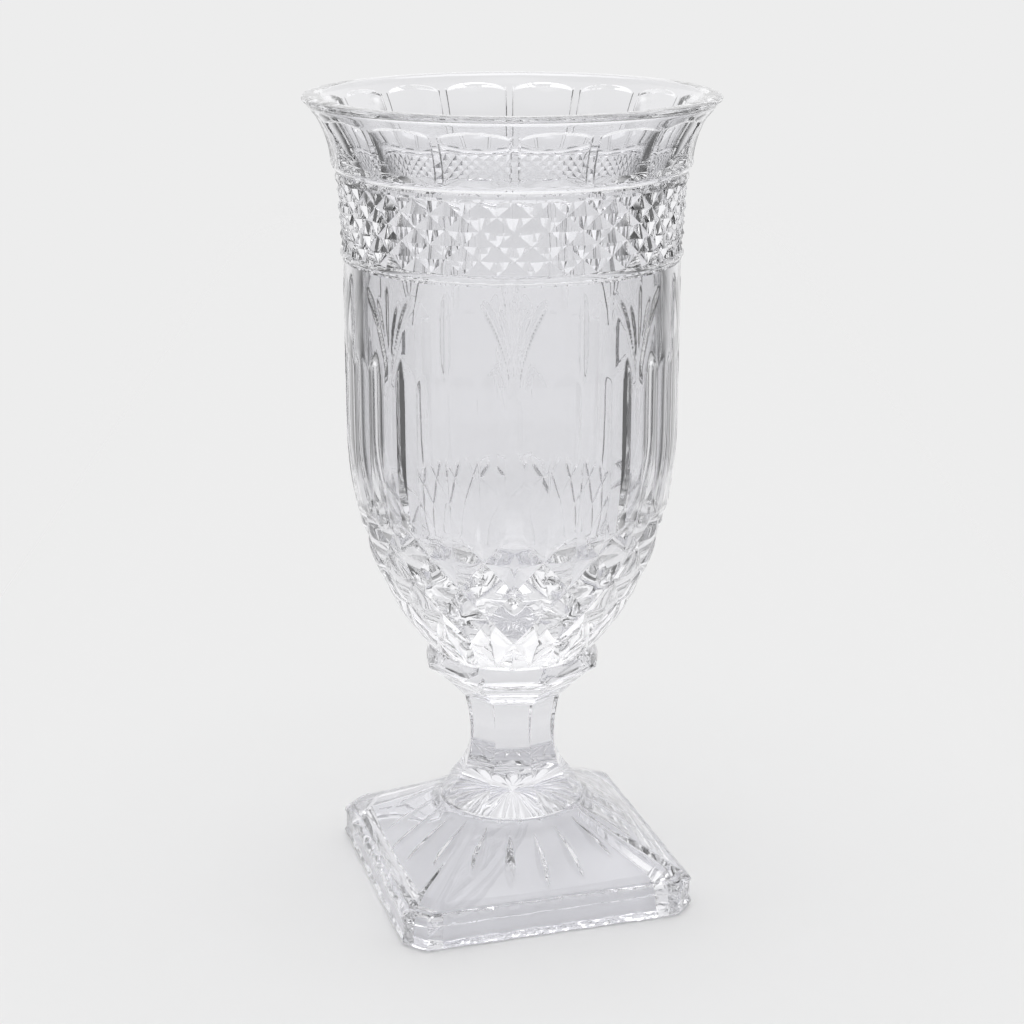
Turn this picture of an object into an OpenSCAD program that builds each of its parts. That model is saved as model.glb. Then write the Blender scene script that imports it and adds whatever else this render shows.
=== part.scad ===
// Footed cut crystal vase: a deep bowl on a short octagonal stem and a square hollow foot.
// Millimetres, +Z up. The origin is the centre of the foot's underside.

/* [Overall] */
// Height from the table to the top of the rim
vase_h = 305; // [260:1:340]
// Turn of the bowl and stem against the foot, about the upright axis
twist = -15.7; // [-22.5:0.1:22.5]

/* [Bowl] */
// Radius of the rim at its outermost edge
rim_r = 75; // [70:0.5:80]
// Outside radius of the straight barrel
barrel_r = 61.5; // [58:0.5:64]
// Inside radius of the straight barrel
cavity_r = 54.5; // [48:0.5:55.5]
// Height at which the hollow inside the bowl ends
cavity_floor = 112; // [106:1:120]
// Height at which the bowl's round bottom runs into the barrel
belly_z = 185; // [175:1:195]
// How far below belly_z the outer belly curve would close
belly_drop = 101.6; // [98:0.2:106]
// Depth of the small diamonds under the rim
small_diamond = 1.9; // [1:0.1:3]
// Depth of the large diamonds on the belly
large_diamond = 2.6; // [1.5:0.1:4]
// Depth of the deepest upright flutes on the barrel, which stand beside the fans' stems
flute = 1.4; // [0.4:0.1:1.6]
// Depth of the scooped windows in the flared lip
window = 1.6; // [0.6:0.1:2]

/* [Stem] */
// Half the distance across the octagon's flats at its narrowest
waist = 16; // [13:0.5:19]
// Half the distance across the flats of the collar's lower edge
collar = 33; // [31.5:0.5:35]
// Radius of the peg under the bowl, and of the socket in the collar
seat_r = 26; // [20:0.5:28]
// Depth of the socket
seat_depth = 4; // [2:0.5:6]

/* [Foot] */
// Width of the square foot
foot_w = 114.5; // [106:0.5:120]
// Length cut off each side at the foot's corners
corner_cut = 7.5; // [4:0.5:11]
// Height of the foot's upright side
side_h = 9.5; // [8:0.5:12]
// Height of the shoulder where the foot's top begins to rise
shoulder_z = 14; // [12.5:0.5:18]
// Height of the round pad that carries the stem
pad_z = 33.7; // [32:0.1:36]
// Radius of that pad
pad_r = 28.2; // [27.6:0.1:30]
// Height of the hollow under the foot, at its middle
hollow_h = 29; // [22:0.5:31]
// Width of the flat rim that the foot stands on
rim_w = 8; // [6:0.5:12]
// Depth of the radial cuts in the hollow
ray = 1.2; // [0.4:0.1:1.6]

/* [Hidden] */
$fn = 128;
crystal = [0.86, 0.88, 0.91];
joint_z = 96;
front = -90;

bowl_cols = 64;
bowl_step = 360 / bowl_cols;
large_row = 6;
large_rows = 10;
large_z = joint_z + 2;
large_top = large_z + large_row * (large_rows - 1);
small_row = 5;
small_rows = 6;
small_z = 250;
small_top = small_z + small_row * (small_rows - 1);
flute_low = large_top + 5;
flute_top = 220;
lip_z = small_top + 6;
tip_z = vase_h - 1;
crest_r = rim_r - 6.5;
window_top = 293.5;

stem_cols = 32;
rays = 20;
foot_half = foot_w / 2;

// Triangles between neighbouring rings of points, with the seam diagonals chosen by flip(row, column).
function wrap(i, n) = (i + n) % n;
function ring_faces(rows, n) = [
    for (j = [0 : rows - 2])
        for (i = [0 : n - 1])
            let (
                a = j * n + i,
                b = j * n + wrap(i + 1, n),
                c = a + n,
                d = b + n
            )
            each ((i + j) % 2 == 0 ? [[a, c, d], [a, d, b]] : [[a, c, b], [b, c, d]])
];
function turned(r, a, z) = [r * cos(a), r * sin(a), z];

// How far a point lies from the nearest diamond's tip: 0 on the tip, 1 in the grooves around it.
// u and v count half diamonds around and up.
function saw(x) = abs(x - 2 * round(x / 2));
function diamond(u, v) = max(saw(u + v), saw(u - v));

// Plain outer radius of the bowl at height z: belly, barrel, band and flared lip.
function belly_r(z) = barrel_r * sqrt(1 - pow(max(0, belly_z - z) / belly_drop, 2));
function band_r(z) = barrel_r + 0.5 + 1.5 * (z - small_z) / (small_top - small_z);
function lip_r(z) = barrel_r + 3.7 + (rim_r - barrel_r - 3.7) * pow((z - lip_z) / (tip_z - lip_z), 1.86);

// Depth of the flutes and windows at column i, as a share of their full depth.
function flute_share(i) = [0, 1, 0, 0.25, 0, 0.25, 0, 1][i % 8];
function window_share(i) = [0, 0.8, 1, 0.8][i % 4];

// Each entry is one ring of the bowl's outside: [height, radius at column i].
function large_ring(j, i) =
    let (z = large_z + j * large_row)
    [z, belly_r(z) - large_diamond * diamond(i / 2 + 1, (j - 6) / 2) * min(1, 0.4 + j / 3)];
function small_ring(j, i) =
    let (z = small_z + j * small_row)
    [z, band_r(z) - small_diamond * diamond(i, j)];
function flute_ring(z, share, i) = [z, belly_r(z) - flute * share * flute_share(i)];
function lip_ring(z, share, i) = [z, lip_r(z) - window * share * window_share(i)];
function bowl_column(i) = concat(
    [[joint_z, belly_r(joint_z) - 1]],
    [for (j = [0 : large_rows - 1]) large_ring(j, i)],
    [
        flute_ring(flute_low, 0, i),
        flute_ring(flute_low + 7, 1, i),
        flute_ring(belly_z, 1, i),
        flute_ring(flute_top - 12, 1, i),
        flute_ring(flute_top - 5, 0.7, i),
        flute_ring(flute_top, 0, i),
        [small_z - 3.5, barrel_r],
        [small_z - 2.5, barrel_r - 1],
        [small_z - 1.7, barrel_r + 0.6],
        [small_z - 0.5, barrel_r + 0.8]
    ],
    [for (j = [0 : small_rows - 1]) small_ring(j, i)],
    [
        [small_top + 0.5, barrel_r + 2.2],
        [small_top + 2.5, barrel_r + 1.4],
        [small_top + 4, barrel_r + 3.4],
        lip_ring(lip_z, 0, i),
        lip_ring(lip_z + 2, 0.7, i),
        lip_ring(lip_z + 6, 1, i),
        lip_ring(window_top - 2.5, 1, i),
        lip_ring(window_top, 0, i),
        lip_ring(300, 0, i),
        [tip_z, rim_r],
        [vase_h - 0.2, crest_r + 3],
        [vase_h, crest_r]
    ]
);
bowl_columns = [for (i = [0 : bowl_cols - 1]) bowl_column(i)];
bowl_rings = len(bowl_columns[0]);

// Half the hollow's outline, from the axis below the floor to above the rim.
floor_steps = 24;
function cavity_wall(t) = [cavity_r * sin(t), belly_z - (belly_z - cavity_floor) * cos(t)];
function mouth_r(z) = cavity_r + (crest_r - 2 - cavity_r) * pow(max(0, z - small_z) / (vase_h - 2 - small_z), 2.6);
cavity_outline = concat(
    [for (k = [0 : floor_steps]) cavity_wall(90 * k / floor_steps)],
    [for (z = [small_z : 5 : vase_h - 5]) [mouth_r(z), z]],
    [[crest_r - 2, vase_h - 2], [crest_r - 0.8, vase_h - 0.5], [crest_r - 0.8, vase_h + 1], [0, vase_h + 1]]
);

module bowl_outside() {
    points = [
        for (j = [0 : bowl_rings - 1])
            for (i = [0 : bowl_cols - 1])
                turned(bowl_columns[i][j][1], front + twist + i * bowl_step, bowl_columns[i][j][0])
    ];
    top = (bowl_rings - 1) * bowl_cols;
    polyhedron(
        points,
        concat(
            [[for (i = [0 : bowl_cols - 1]) i]],
            ring_faces(bowl_rings, bowl_cols),
            [[for (i = [bowl_cols - 1 : -1 : 0]) top + i]]
        )
    );
}

// The bowl: thick crystal with a smooth round hollow, and a peg below that sits in the stem's collar.
module bowl() color(crystal) {
    difference() {
        union() {
            bowl_outside();
            translate([0, 0, joint_z - seat_depth]) cylinder(r = seat_r, h = seat_depth + 1);
        }
        rotate_extrude() polygon(cavity_outline);
    }
}

// Radius of a polygon of eight flats at angle a, where roundness 1 is a full circle.
function octagon_r(flats, a, roundness) =
    let (b = wrap(a + 22.5, 45) - 22.5)
    flats * ((1 - roundness) / cos(b) + roundness);

// Rings of the stem: [height, half width across the flats, roundness].
stem_rings = [
    [pad_z, pad_r - 1, 1],
    [pad_z + 1.8, pad_r - 1.2, 1],
    [pad_z + 4.5, waist + 9, 0.6],
    [pad_z + 8.5, waist + 5.2, 0.2],
    [pad_z + 12.5, waist + 2.7, 0],
    [pad_z + 16.5, waist + 1.1, 0],
    [pad_z + 22, waist + 0.3, 0],
    [pad_z + 28, waist, 0],
    [pad_z + 36, waist + 0.7, 0],
    [pad_z + 43, waist + 2, 0],
    [joint_z - 14.5, waist + 5.8, 0],
    [joint_z - 10, waist + 9.6, 0],
    [joint_z - 6.5, collar - 3, 0.1],
    [joint_z - 5.5, collar - 0.4, 0.35],
    [joint_z - 3.5, collar, 0.65],
    [joint_z - 1, collar - 1, 1],
    [joint_z, collar - 2.5, 1]
];

// The stem: an eight-sided pillar that spreads into a collar above and a round base below.
module stem() color(crystal) {
    points = [
        for (ring = stem_rings)
            for (i = [0 : stem_cols - 1])
                let (a = i * 360 / stem_cols)
                turned(octagon_r(ring[1], a, ring[2]), front + twist + a, ring[0])
    ];
    top = (len(stem_rings) - 1) * stem_cols;
    difference() {
        polyhedron(
            points,
            concat(
                [[for (i = [0 : stem_cols - 1]) i]],
                ring_faces(len(stem_rings), stem_cols),
                [[for (i = [stem_cols - 1 : -1 : 0]) top + i]]
            )
        );
        translate([0, 0, joint_z - seat_depth]) cylinder(r = seat_r, h = seat_depth + 1);
    }
}

// Directions around the foot: each side has its rays, the ridges between them and the two cut corners.
function corner_a(half, cut) = atan((half - cut) / half);
function side_directions(cut_a) = concat(
    [-cut_a],
    [for (k = [-4 : 4]) k * 180 / rays],
    [cut_a]
);
cut_a = corner_a(foot_half, corner_cut);
foot_directions = [for (side = [0 : 3]) each [for (a = side_directions(cut_a)) [side * 90, a]]];
foot_cols = len(foot_directions);

// A ring of the foot that is a square of the given half width, a circle of the same radius, or between.
function foot_point(half, squareness, z, direction, extra) =
    let (
        a = direction[1],
        r = half * (squareness / cos(a) + 1 - squareness)
    )
    turned(r, direction[0] + a, z + extra);
// The rays are cut between the ridges: 1 in a ray, 0 on a ridge or a corner.
function ray_share(direction) = abs(direction[1]) < 40 && round(direction[1] * rays / 180) % 2 == 0 ? 1 : 0;

// Rings of the foot, from the pad over the top, down the side and up into the hollow:
// [half width, squareness, height, share of the rays' depth].
foot_rings = [
    [pad_r, 0, pad_z, 0],
    [pad_r + 0.8, 0.02, pad_z - 0.8, 0],
    [pad_r + 9, 0.35, pad_z - (pad_z - shoulder_z) * 0.36, 0],
    [pad_r + 17.5, 0.68, pad_z - (pad_z - shoulder_z) * 0.68, 0],
    [foot_half - 2.9, 1, shoulder_z, 0],
    [foot_half - 0.7, 1, side_h + 2.9, 0],
    [foot_half, 1, side_h, 0],
    [foot_half, 1, 0.8, 0],
    [foot_half - 0.8, 1, 0, 0],
    [foot_half - rim_w, 1, 0, 0],
    [foot_half - rim_w - 1.2, 1, 3, 0],
    [foot_half - rim_w - 3.5, 0.95, 8, 0.3],
    [pad_r + 10, 0.45, 17.8, 1],
    [pad_r, 0.05, hollow_h - 5, 1],
    [pad_r - 4, 0, hollow_h - 1, 0.7],
    [10, 0, hollow_h - 0.4, 0.5]
];

// The foot: a square block with cut corners, drawn up to a round pad, hollow and star cut beneath.
module foot() color(crystal) {
    points = concat(
        [
            for (ring = foot_rings)
                for (direction = foot_directions)
                    foot_point(ring[0], ring[1], ring[2], direction, ray * ring[3] * ray_share(direction))
        ],
        [[0, 0, hollow_h]]
    );
    last = (len(foot_rings) - 1) * foot_cols;
    tip = len(points) - 1;
    polyhedron(
        points,
        concat(
            [[for (i = [foot_cols - 1 : -1 : 0]) i]],
            [for (face = ring_faces(len(foot_rings), foot_cols)) [face[0], face[2], face[1]]],
            [for (i = [0 : foot_cols - 1]) [last + i, last + wrap(i + 1, foot_cols), tip]]
        )
    );
}

bowl();
stem();
foot();
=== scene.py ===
# %% [markdown]
# # A footed vase of cut lead crystal
#
# The vase is three pieces of clear crystal fused in one line: a deep bowl, an eight-sided stem with a
# collar, and a square foot that is hollow underneath. Clear glass shows only its surfaces, so every
# groove, facet and flute that the eye reads has to be a real surface here, and not a bump.
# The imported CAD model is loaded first. It fixes the size and the place of each piece.

# %% The frame
import math

import bpy
import numpy as np
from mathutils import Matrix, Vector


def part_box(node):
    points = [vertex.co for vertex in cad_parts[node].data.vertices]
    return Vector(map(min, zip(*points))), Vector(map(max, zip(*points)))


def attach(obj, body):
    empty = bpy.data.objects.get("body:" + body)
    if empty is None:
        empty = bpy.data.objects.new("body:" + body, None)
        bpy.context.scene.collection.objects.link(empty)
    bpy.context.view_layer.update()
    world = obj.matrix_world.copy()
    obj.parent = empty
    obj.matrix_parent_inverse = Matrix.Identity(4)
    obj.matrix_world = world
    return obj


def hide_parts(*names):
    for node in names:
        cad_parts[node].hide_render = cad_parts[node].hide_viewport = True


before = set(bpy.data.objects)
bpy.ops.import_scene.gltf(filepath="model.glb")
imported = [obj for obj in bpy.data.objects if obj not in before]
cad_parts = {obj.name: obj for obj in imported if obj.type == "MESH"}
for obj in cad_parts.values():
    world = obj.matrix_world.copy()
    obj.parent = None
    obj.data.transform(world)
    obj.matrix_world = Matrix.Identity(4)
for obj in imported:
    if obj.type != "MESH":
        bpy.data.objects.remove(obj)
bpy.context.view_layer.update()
bowl_low, bowl_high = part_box("bowl")
foot_low, foot_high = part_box("foot")
stem_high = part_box("stem")[1]

# %% [markdown]
# Lengths below are in millimetres, as a glass cutter would give them, and become metres only where a
# mesh is made. The driving sizes are read from the frame's boxes, so the pieces cannot drift from it.
# The foot stands square to the axes, and the bowl and stem are turned a little against it.

# %% Driving sizes
MM = 0.001
vase_h = bowl_high.z / MM
rim_r = (bowl_high.x - bowl_low.x) / 2 / MM
joint_z = stem_high.z / MM
pad_z = foot_high.z / MM
foot_half = (foot_high.x - foot_low.x) / 2 / MM
seat_r, seat_depth, lap_r = 26, 4, 30.5
twist = math.radians(-90 - 15.7)
print("rim radius", round(rim_r, 2), "collar top", round(joint_z, 2), "foot half width", round(foot_half, 2))

# %% [markdown]
# ## Rings of points
#
# Each piece is a stack of closed rings of points around the upright axis, joined by triangles. A turned
# profile with booleans for the cuts would also give the shape, but it leaves slivers and torn edges
# that show in clear glass. Rings keep each crease exactly on an edge. A ring may have fewer or more
# points than its neighbour, so plain bands stay light and cut bands stay fine.


# %% Points of one ring
PLAIN = 256


def around(count):
    """Angles of a ring, in degrees from the middle of the front motif."""
    return np.arange(count) * 360 / count


def packed(half):
    """Angles of a ring that repeats a sector, from its crest at 0 to its middle, mirrored."""
    sector = half[:-1] + [2 * half[-1] - h for h in reversed(half[1:])]
    return np.concatenate([np.array(sector) + k * 2 * half[-1] for k in range(round(180 / half[-1]))])


def turned(r, degrees, z):
    a = np.radians(degrees) + twist
    return np.stack([r * np.cos(a), r * np.sin(a), np.broadcast_to(z, a.shape)], 1)


def plain_ring(r, z, count=PLAIN):
    return turned(np.full(count, float(r)), around(count), z)


print("a plain ring has", PLAIN, "points")

# %% Stitching rings into a mesh
GLASS, SEAM = 0, 1
crisp_angle = 22


class Shell:
    """Rings of points with triangles between them, collected for one mesh."""

    def __init__(self):
        self.points = []
        self.faces = []
        self.flat = []
        self.material = []
        self.count = 0

    def ring(self, xyz):
        start = self.count
        self.points.append(np.asarray(xyz, float))
        self.count += len(xyz)
        return start, len(xyz)

    def add(self, faces, flat, material):
        self.faces += faces
        self.flat += [flat] * len(faces)
        self.material += [material] * len(faces)

    def stitch(self, low, high, flat=False, material=GLASS, lean=None):
        """Joins two rings. lean(i) picks the diagonal of cell i where the rings are equal."""
        (a, n), (b, m) = low, high
        faces = []
        if n == m:
            for i in range(n):
                j = (i + 1) % n
                if lean is None or lean(i):
                    faces += [(a + i, a + j, b + j), (a + i, b + j, b + i)]
                else:
                    faces += [(a + i, a + j, b + i), (a + j, b + j, b + i)]
        else:
            i = j = 0
            while i < n or j < m:
                if (i + 1) / n <= (j + 1) / m:
                    faces.append((a + i % n, a + (i + 1) % n, b + j % m))
                    i += 1
                else:
                    faces.append((a + i % n, b + (j + 1) % m, b + j % m))
                    j += 1
        self.add(faces, flat, material)

    def lathe(self, last, outline):
        """Carries on from the ring called last with plain rings of each radius and height."""
        for r, z in outline:
            ring = self.ring(plain_ring(r, z))
            self.stitch(last, ring)
            last = ring
        return last

    def cap(self, ring, up, material=GLASS):
        a, n = ring
        centre = np.concatenate(self.points)[a:a + n].mean(0)
        c, _ = self.ring([centre])
        pairs = [(a + i, a + (i + 1) % n) for i in range(n)]
        self.add([(p, q, c) if up else (q, p, c) for p, q in pairs], True, material)

    def build(self, name, materials):
        """Makes the object. An edge that turns more than crisp_angle stays a crisp, polished cut."""
        mesh = bpy.data.meshes.new(name)
        mesh.from_pydata((np.concatenate(self.points) * MM).tolist(), [], self.faces)
        mesh.polygons.foreach_set("use_smooth", [not f for f in self.flat])
        mesh.polygons.foreach_set("material_index", self.material)
        for material in materials:
            mesh.materials.append(material)
        mesh.validate()
        mesh.set_sharp_from_angle(angle=math.radians(crisp_angle))
        piece = bpy.data.objects.new(name, mesh)
        bpy.context.scene.collection.objects.link(piece)
        print(name, "triangles:", len(mesh.polygons))
        return piece


print("edges sharper than", crisp_angle, "degrees stay crisp")

# %% [markdown]
# ## Lead crystal
#
# Lead crystal is a clear glass with lead oxide in it. It is pressed or blown, cut, and polished with
# fire or acid until each facet is bright. Its index of refraction is about 1.54, a little above window
# glass, so edges flash and deep cuts turn dark. A polished facet is almost a perfect surface, so its
# roughness is 0. What a hand sees on it is a very slight swell left by the polishing wheel, about 9 mm
# from wave to wave. The pressed stem and foot took a little more swell from the mould, and a trace of
# grey, which glass shows where it is thick. The swell could be a displaced mesh, but at some
# hundredths of a millimetre it is too shallow for that, so it is the one thing here made by a bump.


# %% Colours and nodes
def linear(hex_colour):
    """A six-digit sRGB hex colour as linear red, green, blue and alpha."""
    channels = [int(hex_colour[i:i + 2], 16) / 255 for i in (0, 2, 4)]
    return [c / 12.92 if c <= 0.04045 else ((c + 0.055) / 1.055) ** 2.4 for c in channels] + [1]


def add(tree, kind, inputs=None, links=None, **settings):
    """Adds a node, sets its settings and inputs, and links inputs to other nodes' outputs."""
    node = tree.nodes.new(kind)
    for key, value in settings.items():
        setattr(node, key, value)
    for key, value in (inputs or {}).items():
        node.inputs[key].default_value = value
    for key, output in (links or {}).items():
        tree.links.new(output, node.inputs[key])
    return node


def new_material(name):
    material = bpy.data.materials.new(name)
    material.use_nodes = True
    material.node_tree.nodes.clear()
    return material, material.node_tree


print("white is", linear("FFFFFF"))


# %% Polished lead crystal
def lead_crystal(name, tint, swell_mm, swell_depth_mm):
    material, tree = new_material(name)
    place = add(tree, "ShaderNodeTexCoord").outputs["Object"]
    swell = add(tree, "ShaderNodeTexNoise", {"Scale": 1 / (swell_mm * MM), "Detail": 1, "Roughness": 0.4},
                {"Vector": place})
    bump = add(tree, "ShaderNodeBump", {"Strength": 1, "Distance": swell_depth_mm * MM},
               {"Height": swell.outputs["Fac"]})
    glass = add(tree, "ShaderNodeBsdfPrincipled",
                {"Base Color": linear(tint), "Roughness": 0, "IOR": 1.54, "Transmission Weight": 1},
                {"Normal": bump.outputs["Normal"]})
    add(tree, "ShaderNodeOutputMaterial", None, {"Surface": glass.outputs["BSDF"]})
    return material


cut_crystal = lead_crystal("cut_and_polished_lead_crystal", "F8F8FA", 9, 0.02)
pressed_crystal = lead_crystal("pressed_lead_crystal", "F3F3F6", 11, 0.05)
print("crystal:", cut_crystal.name, "and", pressed_crystal.name)

# %% [markdown]
# ## The fused seams
#
# The pieces were melted together, so at a seam one glass meets the same glass and nothing shows. The
# meeting faces could be deleted, but then each piece would be open. They stay, and are fully clear.

# %% Fused seam
seam, seam_tree = new_material("fused_seam")
no_surface = add(seam_tree, "ShaderNodeBsdfTransparent")
add(seam_tree, "ShaderNodeOutputMaterial", None, {"Surface": no_surface.outputs["BSDF"]})
print("seam:", seam.name)

# %% [markdown]
# ## The bowl's outside
#
# From below: a belly of large diamonds, tall concave flutes with round tops, a plain zone with fans and
# olives cut into it, a bead, a band of small diamonds, a second bead, and a flared lip with sixteen
# scooped windows. Everything repeats eight, sixteen or thirty-two times around. It could be modelled as
# one sector and copied around, but the copies would have to be welded. Here the plain shape is a radius
# for each height, as a potter would turn it, and each cut is a depth taken off that radius, as the
# cutter's wheel takes it.

# %% The plain profile
barrel_r = 61.5
belly_z, belly_drop = 185, 101.6
small_z, small_row, small_rows = 250, 5, 6
small_top = small_z + small_row * (small_rows - 1)
lip_z, tip_z = small_top + 6, vase_h - 1
crest_r = rim_r - 6.6


def belly_r(z):
    return barrel_r * np.sqrt(1 - (np.maximum(0, belly_z - z) / belly_drop) ** 2)


def band_r(z):
    return barrel_r + 0.5 + 1.5 * (z - small_z) / (small_top - small_z)


def lip_r(z):
    low = barrel_r + 3.7
    return low + (rim_r - low) * (np.maximum(0, z - lip_z) / (tip_z - lip_z)) ** 1.86


print("radius at the collar", round(float(belly_r(joint_z)), 1), "at the rim", round(float(lip_r(tip_z)), 1))

# %% [markdown]
# Diamonds are what is left between two sets of slanting V grooves. The small ones come to sharp points.
# The large ones are pillows: nearly flat in the middle and steepest at the grooves.

# %% Diamonds
small_columns, small_depth = 64, 1.8
large_mid, large_half, large_pitch = 134, 12, 11.25
shallow_row, deep_row = 1.5, 2.5


def saw(x):
    return np.abs(x - 2 * np.round(x / 2))


def diamond(u, v):
    """0 on a diamond's tip, 1 in the grooves around it; u and v count half diamonds."""
    return np.maximum(saw(u + v), saw(u - v))


def smooth(t):
    t = np.clip(t, 0, 1)
    return t * t * (3 - 2 * t)


def large_diamonds(a, z):
    """Pillow-shaped diamonds, deeper up the belly and dying out just above the collar."""
    w = diamond(a / large_pitch + 1, (z - large_mid) / large_half)
    deepest = shallow_row + (deep_row - shallow_row) * smooth((z - 126) / 18)
    return deepest * w ** 2.2 * np.clip((z - joint_z) / 14, 0.15, 1)


print("small diamonds are", small_row, "mm from row to row, large ones", large_half)

# %% [markdown]
# A flute is cut by the round edge of a wheel, which lifts out of the glass at each end. The two flutes
# beside each fan's stem fall steeply from it. Light cannot leave through a wall that steep, and so a
# dark line runs up beside the stem. Fans are five spoon-shaped cuts from one root, and an olive is a
# short, shallow cut with pointed ends.

# %% Flutes, fans and olives
stem_half, valley = 3, 2.7
deep_flute, shallow_flute = 1.4, 0.35
flute_low, flute_top = 148, 220
fan_root = 209
# Each leaf of a fan: how far it leans in degrees, the height of its tip, its half width in degrees.
fan_leaves = ((-10.5, 242, 2), (10.5, 242, 2), (-5, 239, 1.4), (5, 239, 1.4), (0, 245, 1.2))


def across(a, pitch, centre):
    """Degrees from the nearest of the centres that repeat every pitch degrees."""
    return (a - centre + pitch / 2) % pitch - pitch / 2


def run_out(z, low, high, low_run, high_run):
    """How far a wheel has lifted out of its cut, as a share of the depth, near the cut's two ends."""
    below = 1 - np.clip((z - low) / low_run, 0, 1)
    above = 1 - np.clip((high - z) / high_run, 0, 1)
    return np.maximum(below, above) ** 2


def flutes(a, z):
    """Deep flutes on both sides of each fan's stem, which fall steeply and rise slowly, and shallow ones."""
    from_stem = np.abs(across(a, 45, 0))
    steep = (from_stem - stem_half) / valley
    slow = (11.25 - from_stem) / (11.25 - stem_half - valley)
    x = across(a, 11.25, 5.625) / 5.2
    cut = np.where(from_stem < 11.25, deep_flute * np.minimum(steep, slow), shallow_flute * (1 - x * x))
    return np.clip(cut - deep_flute * run_out(z, flute_low, flute_top, 4, 10), 0, None)


def leaf(a, z, low, high, lean, width, depth):
    """A spoon-shaped cut: thin at height low, bent over by lean degrees, and round at height high."""
    t = np.clip((z - low) / (high - low), 0, 1)
    middle = lean * (0.1 + 0.9 * t ** 1.9)
    half = 0.4 + (width - 0.4) * t ** 1.3
    x = (a - middle) / half
    return depth * np.clip(1 - x * x - run_out(z, low, high, 5, 5), 0, 1) ** 1.6


def fans_and_olives(a, z):
    m = across(a, 45, 0)
    deep = np.zeros_like(a)
    for lean, high, width in fan_leaves:
        deep = np.maximum(deep, leaf(m, z, fan_root, high, lean, width, 0.45 * width))
    o = across(a, 45, 22.5)
    olive = np.clip(1 - (o / 1.8) ** 2 - run_out(z, 211, 245, 17, 17), 0, 1)
    return np.maximum(deep, 0.6 * olive)


print("deep flutes are", deep_flute, "mm deep and", flute_top - flute_low, "mm tall")

# %% [markdown]
# The lip's windows are wide scoops with round tops, and a narrow pillar is left between two of them.
# A fine mitre line runs up each side of the pillar.

# %% Windows of the lip
window_depth, pillar_half = 1.75, 1.25
arch_z, arch_rise = 297, 2.6
mitre_depth, mitre_half = 0.35, 0.35


def windows(a, z):
    x = across(a, 22.5, 11.25) / (11.25 - pillar_half)
    y = (z - 290) / 10
    arch = arch_z + arch_rise * np.sqrt(np.clip(1 - x * x, 0, 1))
    scoop = np.clip(1 - x * x, 0, 1) * (1 - 0.3 * y * y)
    rise = smooth((z - lip_z + 0.5) / 2.5)
    fall = smooth((arch - z) / 0.9)
    beside_pillar = np.abs(np.abs(across(a, 22.5, 0)) - pillar_half)
    mitre = mitre_depth * np.clip(1 - beside_pillar / mitre_half, 0, 1) * smooth((298.5 - z) / 1.5)
    return window_depth * scoop * rise * fall + mitre * rise


print("window tops at", arch_z, "to", arch_z + arch_rise, "mm")

# %% [markdown]
# ## Building the bowl
#
# The columns of each zone lie where its cuts have their creases: every 12th column on a groove of the
# large diamonds, a column on each side of a fan's stem, a column on each edge of a pillar.

# %% Columns of points
diamond_columns = around(384)
per_half = 12
flute_columns = packed([0, 1.2, 2.3, 3, 3.4, 4, 4.7, 5.3, 5.55, 5.7, 5.9, 6.8, 7.8, 9, 10.2, 11.05,
                        11.25, 11.65, 12, 12.7, 13.6, 14.7, 15.8, 16.9, 18, 19.2, 20.3, 21.3, 21.9,
                        22.1, 22.3, 22.5])
fan_columns = around(768)
lip_columns = packed([0, 0.45, 0.9, 1.25, 1.6, 1.9, 2.3, 3, 3.8, 4.7, 5.6, 6.5, 7.45, 8.4, 9.35, 10.3,
                      11.25])
print("columns:", len(diamond_columns), len(flute_columns), len(fan_columns), len(lip_columns))

# %% Seat, belly and barrel
flute_start, fan_start, barrel_top = 152, 212, 246.6


def belly_ring(z, a):
    diamonds = large_diamonds(a, z) * (1 - smooth((z - 151) / 7))
    depth = np.maximum(diamonds, np.maximum(flutes(a, z), fans_and_olives(a, z)))
    return turned(belly_r(z) - depth, a, z)


def add_body(shell):
    under_seat = shell.ring(plain_ring(seat_r, joint_z - seat_depth, 128))
    shell.cap(under_seat, False, SEAM)
    seat = shell.ring(plain_ring(seat_r, joint_z, 128))
    shell.stitch(under_seat, seat, True, SEAM)
    last = shell.ring(plain_ring(lap_r, joint_z))
    shell.stitch(seat, last, True, SEAM)
    rows = [(z, diamond_columns) for z in np.arange(joint_z + 1, flute_start, 1)]
    rows += [(z, flute_columns) for z in (*np.arange(flute_start, 163, 1), *np.arange(163, fan_start, 4))]
    rows += [(z, fan_columns) for z in np.arange(fan_start, barrel_top, 1.25)]
    for z, columns in rows:
        ring = shell.ring(belly_ring(z, columns))
        v = (z - 0.5 - large_mid) / large_half
        shell.stitch(last, ring, lean=lambda i: (saw(1 + (i + 0.5) / per_half - v)
                                                 > saw(1 + (i + 0.5) / per_half + v)))
        last = ring
    return last


bowl_shell = Shell()
ring = add_body(bowl_shell)
print("belly and barrel points:", bowl_shell.count)


# %% Beads and small diamonds
def arc(r0, z0, r1, z1, bulge, steps):
    """Points from (r0, z0) to (r1, z1), bowed outwards by bulge."""
    t = np.linspace(0, 1, steps)
    nr, nz = z1 - z0, r0 - r1
    length = math.hypot(nr, nz)
    bow = 4 * bulge * t * (1 - t) / length
    return list(zip(r0 + (r1 - r0) * t + nr * bow, z0 + (z1 - z0) * t + nz * bow))


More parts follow.
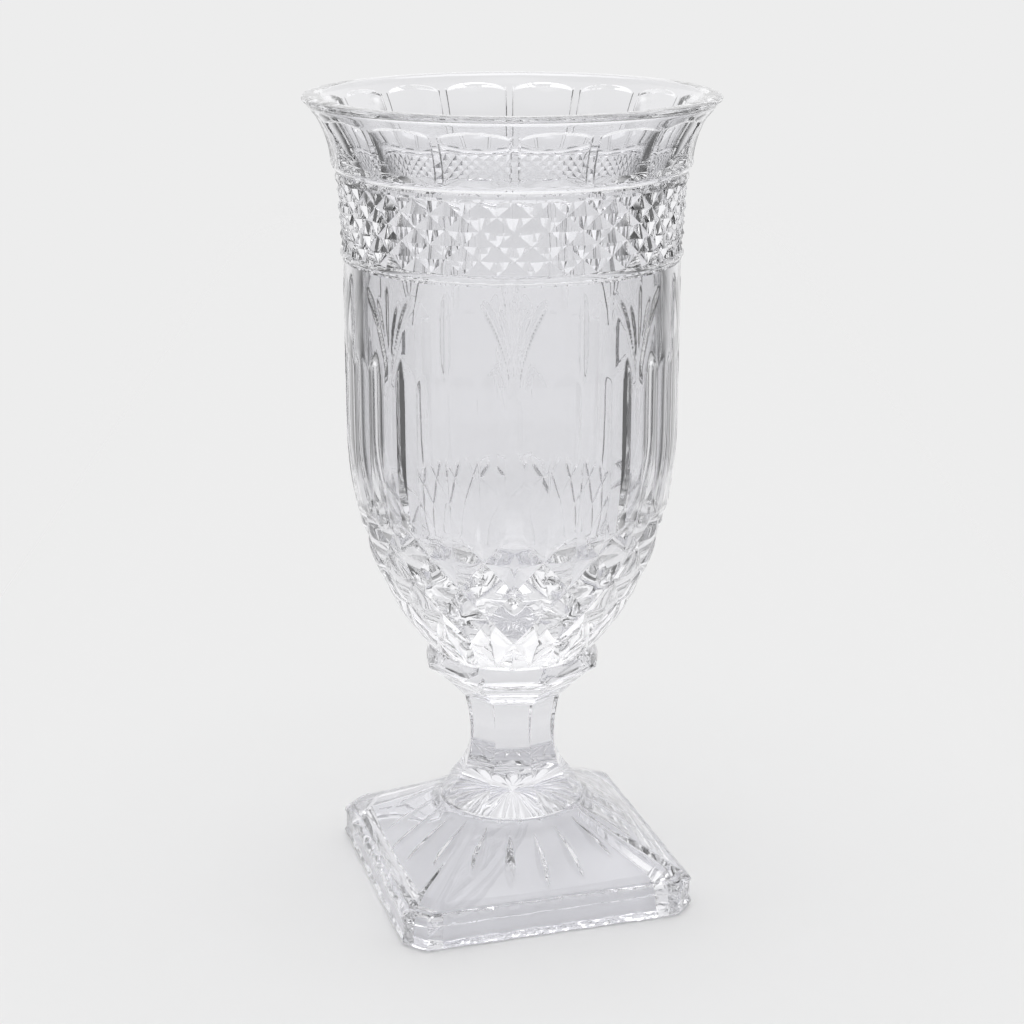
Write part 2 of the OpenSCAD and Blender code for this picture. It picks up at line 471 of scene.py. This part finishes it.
def add_band(shell, last):
    bead = arc(barrel_r - 0.9, 247.3, barrel_r - 0.4, small_z, 1.5, 9)
    last = shell.lathe(last, [(barrel_r, barrel_top), (barrel_r - 0.7, 247)] + bead)
    for j in range(small_rows):
        z = small_z + 0.3 + j * small_row
        r = band_r(z) - small_depth * diamond(np.arange(small_columns), j)
        ring = shell.ring(turned(r, around(small_columns), z))
        shell.stitch(last, ring, True, GLASS, lean=lambda i, j=j: (i + j) % 2 == 0)
        last = ring
    strip = [(barrel_r + 2.1, 275.9), (barrel_r + 2.2, 276.6), (barrel_r + 1.9, 277.6)]
    ledge = arc(barrel_r + 1.2, 278.2, barrel_r + 3.6, lip_z, 0.5, 7)
    return shell.lathe(last, strip + ledge)


ring = add_band(bowl_shell, ring)
print("points up to the second bead:", bowl_shell.count)


# %% Lip and rim
def add_lip(shell, last):
    fine = arch_z - 2.5
    for z in (*np.arange(lip_z + 0.4, fine, 0.8), *np.arange(fine, 300.4, 0.3), 301, 301.6, 302.2):
        ring = shell.ring(turned(lip_r(z) - windows(lip_columns, z), lip_columns, z))
        shell.stitch(last, ring)
        last = ring
    top = arc(rim_r - 0.15, tip_z - 0.6, rim_r - 0.6, tip_z + 0.5, 0.3, 4)
    top += arc(rim_r - 1.6, vase_h - 0.2, crest_r, vase_h - 0.15, 0.15, 5)
    top += [(crest_r - 0.5, vase_h - 0.4), (crest_r - 0.9, vase_h - 1), (crest_r - 1.6, vase_h - 2.2)]
    return shell.lathe(last, top)


ring = add_lip(bowl_shell, ring)
print("points up to the rim:", bowl_shell.count)

# %% [markdown]
# ## The bowl's hollow
#
# The hollow was formed by a plunger, so it is smooth, round and free of cuts. A Solidify modifier would
# copy each cut to the inside. Instead its own outline runs on from the rim, down to a round floor.

# %% The hollow's outline, from the rim down
cavity_r, cavity_floor = 54.5, 112


def hollow_outline():
    outline = []
    for z in np.arange(vase_h - 4, small_z, -2.5):
        share = (z - small_z) / (vase_h - 2 - small_z)
        outline.append((cavity_r + (crest_r - 2 - cavity_r) * share ** 2.6, z))
    outline += [(cavity_r, z) for z in np.arange(small_z, belly_z, -10)]
    for t in np.linspace(90, 2, 30):
        outline.append((cavity_r * math.sin(math.radians(t)),
                        belly_z - (belly_z - cavity_floor) * math.cos(math.radians(t))))
    return outline


ring = bowl_shell.lathe(ring, hollow_outline())
bowl_shell.cap(ring, True)
print("hollow", belly_z - cavity_floor, "mm deep below the barrel")


# %% The finished bowl
def soften(piece, low, high):
    """The wheel's edges are polished round here, so no edge between these heights stays sharp."""
    mesh = piece.data
    place = np.empty(3 * len(mesh.vertices), np.float32)
    ends = np.empty(2 * len(mesh.edges), np.int32)
    sharp = np.empty(len(mesh.edges), bool)
    mesh.vertices.foreach_get("co", place)
    mesh.edges.foreach_get("vertices", ends)
    mesh.edges.foreach_get("use_edge_sharp", sharp)
    middle = place[2::3][ends].reshape(-1, 2).mean(1) / MM
    mesh.edges.foreach_set("use_edge_sharp", sharp & ((middle <= low) | (middle >= high)))


bowl = bowl_shell.build("cut_bowl", [cut_crystal, seam])
soften(bowl, 208.5, 246)
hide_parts("bowl")
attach(bowl, "root")

# %% [markdown]
# ## The stem
#
# An eight-sided pillar: flat panels meet at crisp upright edges. It spreads into a collar above and a
# round base below. A bevelled eight-sided cylinder would have the same edges, but not the way they
# fade into round ends, so each ring is its own blend of an octagon and a circle.

# %% Stem rings: height, distance of the flat sides, share of a circle
waist, collar = 16, 33
stem_points = 128
panel_top, collar_edge = pad_z + 43.5, joint_z - 5.7
stem_rings = [
    (pad_z, 27.2, 1), (pad_z + 0.9, 27.6, 1), (pad_z + 1.9, 27.1, 1), (pad_z + 2.6, 26.4, 0.9),
    (pad_z + 4.5, waist + 8.9, 0.5), (pad_z + 6.5, waist + 6.9, 0.2), (pad_z + 8.5, waist + 5.1, 0.05),
    (pad_z + 10.5, waist + 3.7, 0), (pad_z + 12.5, waist + 2.6, 0), (pad_z + 14.5, waist + 1.8, 0),
    (pad_z + 16.5, waist + 1.15, 0), (pad_z + 19, waist + 0.6, 0), (pad_z + 22, waist + 0.25, 0),
    (pad_z + 25, waist + 0.05, 0), (pad_z + 28, waist, 0), (pad_z + 32, waist + 0.2, 0),
    (pad_z + 36, waist + 0.7, 0), (pad_z + 40, waist + 1.35, 0), (panel_top, waist + 2.1, 0),
]
flare_rings = [
    (pad_z + 43.8, waist + 2.6, 0), (joint_z - 16.5, waist + 4.2, 0), (joint_z - 14.5, waist + 5.8, 0),
    (joint_z - 12.5, waist + 7.6, 0), (joint_z - 10.5, waist + 9.6, 0), (joint_z - 8.5, waist + 11.8, 0),
    (joint_z - 7, collar - 3.4, 0.15), (collar_edge, collar - 0.8, 0.35),
]
collar_rings = [
    (joint_z - 5.3, collar - 0.35, 0.4), (joint_z - 4.6, collar - 0.05, 0.5), (joint_z - 3.7, collar, 0.65),
    (joint_z - 2.7, collar - 0.3, 0.85), (joint_z - 1.8, collar - 0.9, 0.97),
    (joint_z - 0.9, collar - 1.6, 1), (joint_z - 0.2, collar - 2.3, 1), (joint_z, lap_r, 1),
]


def octagon_ring(flats, roundness, z):
    a = around(stem_points)
    b = np.radians(across(a, 45, 0))
    return turned(flats * ((1 - roundness) / np.cos(b) + roundness), a, z)


def build_stem():
    shell = Shell()
    last = None
    for z, flats, roundness in stem_rings + flare_rings + collar_rings:
        ring = shell.ring(octagon_ring(flats, roundness, z))
        if last is None:
            shell.cap(ring, False, SEAM)
        else:
            shell.stitch(last, ring)
        last = ring
    for z in (joint_z, joint_z - seat_depth):
        ring = shell.ring(plain_ring(seat_r, z, stem_points))
        shell.stitch(last, ring, True, SEAM)
        last = ring
    shell.cap(last, True, SEAM)
    return shell


print("stem", round(joint_z - pad_z, 1), "mm tall,", 2 * waist, "mm across the flats at its waist")


# %% The finished stem
def crease_octagon(piece):
    """Marks the eight upright edges and the panels' top edges as sharp."""
    mesh = piece.data
    co = np.array([v.co for v in mesh.vertices]) / MM
    angle = np.degrees(np.arctan2(co[:, 1], co[:, 0])) - math.degrees(twist)
    on_corner = np.abs(across(angle, 45, 22.5)) < 0.1
    for edge in mesh.edges:
        p, q = edge.vertices
        z = (co[p][2] + co[q][2]) / 2
        rise = abs(co[p][2] - co[q][2])
        if on_corner[p] and on_corner[q] and rise > 0.1 and pad_z + 5 < z < joint_z - 4.5:
            edge.use_edge_sharp = True
        if rise < 0.01 and (abs(z - panel_top) < 0.01 or abs(z - collar_edge) < 0.01):
            edge.use_edge_sharp = True


stem = build_stem().build("octagonal_stem", [pressed_crystal, seam])
crease_octagon(stem)
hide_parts("stem")
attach(stem, "root")

# %% [markdown]
# ## The foot
#
# A square block with cut corners, pressed in a mould. Its top is drawn up to a round pad, and a plunger
# left a hollow with twenty radial cuts and a star underneath. A cube could be cut down to this, but
# its round pad and its star need points that fan out from the middle. So the foot is made of rings too,
# which change from a circle at the pad to a square with cut corners. The cuts are under the glass, and
# are seen through it.

# %% Foot directions
pad_r, corner_cut, shoulder_z, side_h = 28.2, 7.5, 14.2, 9.4
hollow_h, rim_w = 31, 8
shoulder = foot_half - 3.6
cut_a = math.degrees(math.atan((foot_half - corner_cut) / foot_half))
side_a = np.concatenate([[-cut_a], np.arange(-40.5, 40.6, 0.75), [cut_a]])
corner_t = np.linspace(0, 1, 7)[1:-1]


def foot_directions():
    """For each column: the angle, and the outline's radius as a share of the foot's half width."""
    angles, radii = [], []
    for side in range(4):
        for a in side_a:
            angles.append(side * 90 + a)
            radii.append(1 / math.cos(math.radians(a)))
        k = math.tan(math.radians(cut_a))
        for t in corner_t:
            x, y = 1 + (k - 1) * t, k + (1 - k) * t
            angles.append(side * 90 + math.degrees(math.atan2(y, x)))
            radii.append(math.hypot(x, y))
    return np.array(angles), np.array(radii)


foot_a, foot_share = foot_directions()
print("columns around the foot:", len(foot_a))


# %% Foot rings
def foot_ring(half, squareness, z):
    r = half * (squareness * foot_share + 1 - squareness)
    a = np.radians(foot_a)
    return np.stack([r * np.cos(a), r * np.sin(a), np.broadcast_to(z, a.shape)], 1)


def waviness(z):
    """The mould's unevenness along the foot's edges: a few waves of different lengths, in mm."""
    s = np.radians(foot_a) * foot_half
    return 0.5 * np.sin(s / 2.9 + z) + 0.3 * np.sin(s / 1.37 - 2 * z) + 0.2 * np.sin(s / 0.83 + 5 * z)


print("the edges waver by", round(0.2 * float(np.ptp(waviness(0))), 2), "mm")

# %% Radial cuts and star
ray_x = across(foot_a, 18, -90)
wheel_slope, star_depth, star_r = 0.97, 1.3, 26


def spindles(r):
    """Depth of the twenty radial cuts in the roof of the hollow, where it has radius r at each column."""
    t = np.clip((r - 27) / 19.5, 0, 1)
    half_mm = 0.2 + 1.8 * np.sin(np.pi * t ** 1.4)
    x = np.radians(ray_x) * r / half_mm
    return wheel_slope * half_mm * np.clip(1 - np.abs(x), 0, 1) * smooth(np.sin(np.pi * t) * 4)


def petals(r):
    """Depth of the twenty petals that meet in a star in the roof of the hollow."""
    x = ray_x / 9
    return star_depth * (1 - x * x) * smooth((star_r - r) / 3) * smooth(r / 5)


print("twenty radial cuts around a star", 2 * star_r, "mm across")


# %% Top, sides and flat rim
def foot_outline():
    """Half width, squareness and height of each ring, from the pad down to the table."""
    drop = pad_z - shoulder_z
    outline = [(27.2, 0, pad_z), (pad_r, 0, pad_z - 0.1), (pad_r + 0.5, 0, pad_z - 0.6)]
    for t in np.linspace(0.02, 1, 36):
        outline.append((pad_r + 0.5 + (shoulder - pad_r - 0.5) * t, t ** 0.8, pad_z - 0.6 - (drop - 0.6) * t))
    upper_bead = [(3.1, 4.1), (2.5, 4.0), (1.6, 3.6), (0.7, 2.7), (0.2, 1.6), (0.15, 0.8), (0.5, 0.2),
                  (0.8, -0.1)]
    lower_bead = [(0.8, 3.6), (0.5, 3.2), (0.1, 2.5), (0, 1.7), (0.2, 0.9), (0.7, 0.3), (1.5, 0)]
    outline += [(foot_half - inset, 1, side_h + rise) for inset, rise in upper_bead]
    outline += [(foot_half - 0.9, 1, 8), (foot_half - 0.9, 1, 4.5)]
    outline += [(foot_half - inset, 1, rise) for inset, rise in lower_bead]
    return outline + [(foot_half - rim_w, 1, 0), (foot_half - rim_w - 0.6, 1, 0.6)]


def add_outside(shell):
    last = None
    for half, squareness, z in foot_outline():
        points = foot_ring(half, squareness, z)
        if side_h < z < shoulder_z - 0.5 or 0.2 < z < 3.3:
            points[:, :2] *= (1 - 0.2 * (1 + waviness(z)) / foot_half)[:, None]
            points[:, 2] += 0.2 * waviness(z + 1)
        ring = shell.ring(points)
        if last is None:
            shell.cap(ring, True, SEAM)
        else:
            shell.stitch(ring, last)
        last = ring
    return last


foot_shell = Shell()
ring = add_outside(foot_shell)
print("points on the foot's outside:", foot_shell.count)

# %% Hollow underneath, and the finished foot
hollow_half = [1.5, 24.5, 26.5, 28.5, 46.5, 48, 48.4]
hollow_z = [hollow_h, hollow_h - 0.5, hollow_h - 2, hollow_h - 4.7, 11.5, 8, 1.5]


def add_underside(shell, last):
    for half in (48.4, 48.2, *np.linspace(48, 44, 6), *np.arange(43.2, 1.4, -0.8)):
        squareness = np.clip((half + 5 - pad_r) / (shoulder - pad_r), 0, 1) ** 0.8
        points = foot_ring(half, squareness, np.interp(half, hollow_half, hollow_z))
        r = np.hypot(points[:, 0], points[:, 1])
        points[:, 2] += petals(r) + spindles(r)
        ring = shell.ring(points)
        shell.stitch(ring, last)
        last = ring
    shell.cap(last, False)


add_underside(foot_shell, ring)
foot = foot_shell.build("square_foot", [pressed_crystal, seam])
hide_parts("foot")
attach(foot, "root")

# %% [markdown]
# ## The studio
#
# A pale seamless floor, and a pale room lit from above, from behind and from the front. Clear glass is
# drawn by what it bends into view: the bright walls keep it light, and a dim stretch on either side,
# below the horizon, gives the cuts their dark lines. Area lamps would do the same for a solid object,
# but glass shows each lamp's outline, so the light is the room itself: a few smooth gradients.

# %% Camera
camera_turn, camera_pitch = math.radians(-16.54), math.radians(17.44)
camera_away, camera_h, lens = 770.5 * MM, 390.35 * MM, 75.16
camera = bpy.data.objects.new("camera", bpy.data.cameras.new("camera"))
camera.data.lens = lens
camera.data.sensor_width = 36
camera.location = (camera_away * math.sin(camera_turn), -camera_away * math.cos(camera_turn), camera_h)
camera.rotation_euler = (math.pi / 2 - camera_pitch, 0, camera_turn)
bpy.context.scene.collection.objects.link(camera)
bpy.context.scene.camera = camera
print("camera", round(camera_away / MM), "mm away and", round(camera_h / MM), "mm up")

# %% [markdown]
# The floor is matt paper: no gloss, and one even pale grey. It lies a hair under the vase, because two
# surfaces in one plane would flicker. It is a narrow sheet whose edges fade away, so the dim sides of
# the room still reach the glass.

# %% Floor
paper_half, paper_front, paper_back, fade, air_gap = 0.2, 0.2, 1.3, 0.12, 0.3 * MM
corners = [(-0.5, -0.5), (0.5, -0.5), (0.5, 1.8), (-0.5, 1.8)]
floor_mesh = bpy.data.meshes.new("floor")
floor_mesh.from_pydata([(x, y, -air_gap) for x, y in corners], [], [(0, 1, 2, 3)])
floor = bpy.data.objects.new("floor", floor_mesh)
floor.rotation_euler.z = camera_turn
bpy.context.scene.collection.objects.link(floor)
print("floor sheet", 2 * paper_half, "by", paper_front + paper_back, "m before it fades")

# %% Matt paper with fading edges
paper, paper_tree = new_material("matt_paper_floor")
place = add(paper_tree, "ShaderNodeTexCoord").outputs["Object"]
over_sheet = add(paper_tree, "ShaderNodeSeparateXYZ", None, {"Vector": place}).outputs
to_side = add(paper_tree, "ShaderNodeMath", None, {0: over_sheet["X"]}, operation="ABSOLUTE").outputs[0]
opacity = None
for distance, edge, run in ((to_side, paper_half, fade), (over_sheet["Y"], -paper_front, -fade),
                            (over_sheet["Y"], paper_back, 3 * fade)):
    kept = add(paper_tree, "ShaderNodeMapRange",
               {"From Min": edge, "From Max": edge + run, "To Min": 1, "To Max": 0},
               {"Value": distance}, interpolation_type="SMOOTHSTEP").outputs["Result"]
    if opacity is None:
        opacity = kept
    else:
        opacity = add(paper_tree, "ShaderNodeMath", None, {0: opacity, 1: kept},
                      operation="MULTIPLY").outputs[0]
matt = add(paper_tree, "ShaderNodeBsdfDiffuse", {"Color": linear("E6E6E6")})
nothing = add(paper_tree, "ShaderNodeBsdfTransparent")
sheet = add(paper_tree, "ShaderNodeMixShader", None,
            {"Fac": opacity, 1: nothing.outputs[0], 2: matt.outputs[0]})
add(paper_tree, "ShaderNodeOutputMaterial", None, {"Surface": sheet.outputs[0]})
floor_mesh.materials.append(paper)
print("floor:", paper.name)

# %% Room gradients
world = bpy.data.worlds.new("studio")
bpy.context.scene.world = world
world.use_nodes = True
sky = world.node_tree
sky.nodes.clear()
toward_camera = (math.sin(camera_turn), -math.cos(camera_turn), 0)
look = add(sky, "ShaderNodeTexCoord").outputs["Generated"]
facing = add(sky, "ShaderNodeVectorMath", {1: toward_camera}, {0: look},
             operation="DOT_PRODUCT").outputs["Value"]
height = add(sky, "ShaderNodeSeparateXYZ", None, {"Vector": look}).outputs["Z"]
# Each gradient: what it follows, where it starts and ends, and its value at both.
gradients = {
    "above horizon": (facing, -0.3, 0.6, 1.06, 0.22),
    "below horizon": (facing, -0.88, -0.6, 0.84, 0.12),
    "front": (facing, 0.3, 0.42, 0, 1),
    "near level": (height, -0.36, -0.26, 0, 1),
    "horizon": (height, -0.02, 0.02, 0, 1),
    "ceiling": (height, 0.35, 0.75, 0, 1),
    "lamp": (height, 0.86, 0.93, 0, 1),
}
room = {}
for part, (follows, start, end, first, last) in gradients.items():
    room[part] = add(sky, "ShaderNodeMapRange",
                     {"From Min": start, "From Max": end, "To Min": first, "To Max": last},
                     {"Value": follows}, interpolation_type="SMOOTHSTEP").outputs["Result"]
print("room gradients:", list(room))

# %% Room light
front_light, ceiling_light, lamp_light = 0.6, 0.86, 2.2
low_front = add(sky, "ShaderNodeMath", None, {0: room["front"], 1: room["near level"]}, operation="MULTIPLY")
below = add(sky, "ShaderNodeMix", {"B": front_light}, {
    "Factor": low_front.outputs["Value"], "A": room["below horizon"]}, data_type="FLOAT")
walls = add(sky, "ShaderNodeMix", None, {
    "Factor": room["horizon"], "A": below.outputs["Result"], "B": room["above horizon"]}, data_type="FLOAT")
under_ceiling = add(sky, "ShaderNodeMix", {"B": ceiling_light}, {
    "Factor": room["ceiling"], "A": walls.outputs["Result"]}, data_type="FLOAT")
strength = add(sky, "ShaderNodeMix", {"B": lamp_light}, {
    "Factor": room["lamp"], "A": under_ceiling.outputs["Result"]}, data_type="FLOAT").outputs["Result"]
seen = add(sky, "ShaderNodeLightPath").outputs["Is Camera Ray"]
room_light = add(sky, "ShaderNodeBackground", {"Color": linear("FFFFFF")}, {"Strength": strength})
backdrop = add(sky, "ShaderNodeBackground", {"Color": linear("EDEDED"), "Strength": 1})
mixed = add(sky, "ShaderNodeMixShader", None, {"Fac": seen, 1: room_light.outputs[0], 2: backdrop.outputs[0]})
add(sky, "ShaderNodeOutputWorld", None, {"Surface": mixed.outputs[0]})
print("lamp", lamp_light, "ceiling", ceiling_light, "front", front_light)

# %% [markdown]
# Light crosses eight or more surfaces on its way through the bowl, and bounces inside the glass as
# well. Each path is followed for forty bounces, and sharp reflections are never blurred.

# %% Ray depth
scene = bpy.context.scene
scene.view_settings.view_transform = "Standard"
scene.cycles.max_bounces = 40
scene.cycles.blur_glossy = 0
scene.cycles.transmission_bounces = 40
scene.cycles.glossy_bounces = 12
scene.cycles.diffuse_bounces = 3
scene.cycles.transparent_max_bounces = 24
print("bounces:", scene.cycles.max_bounces)
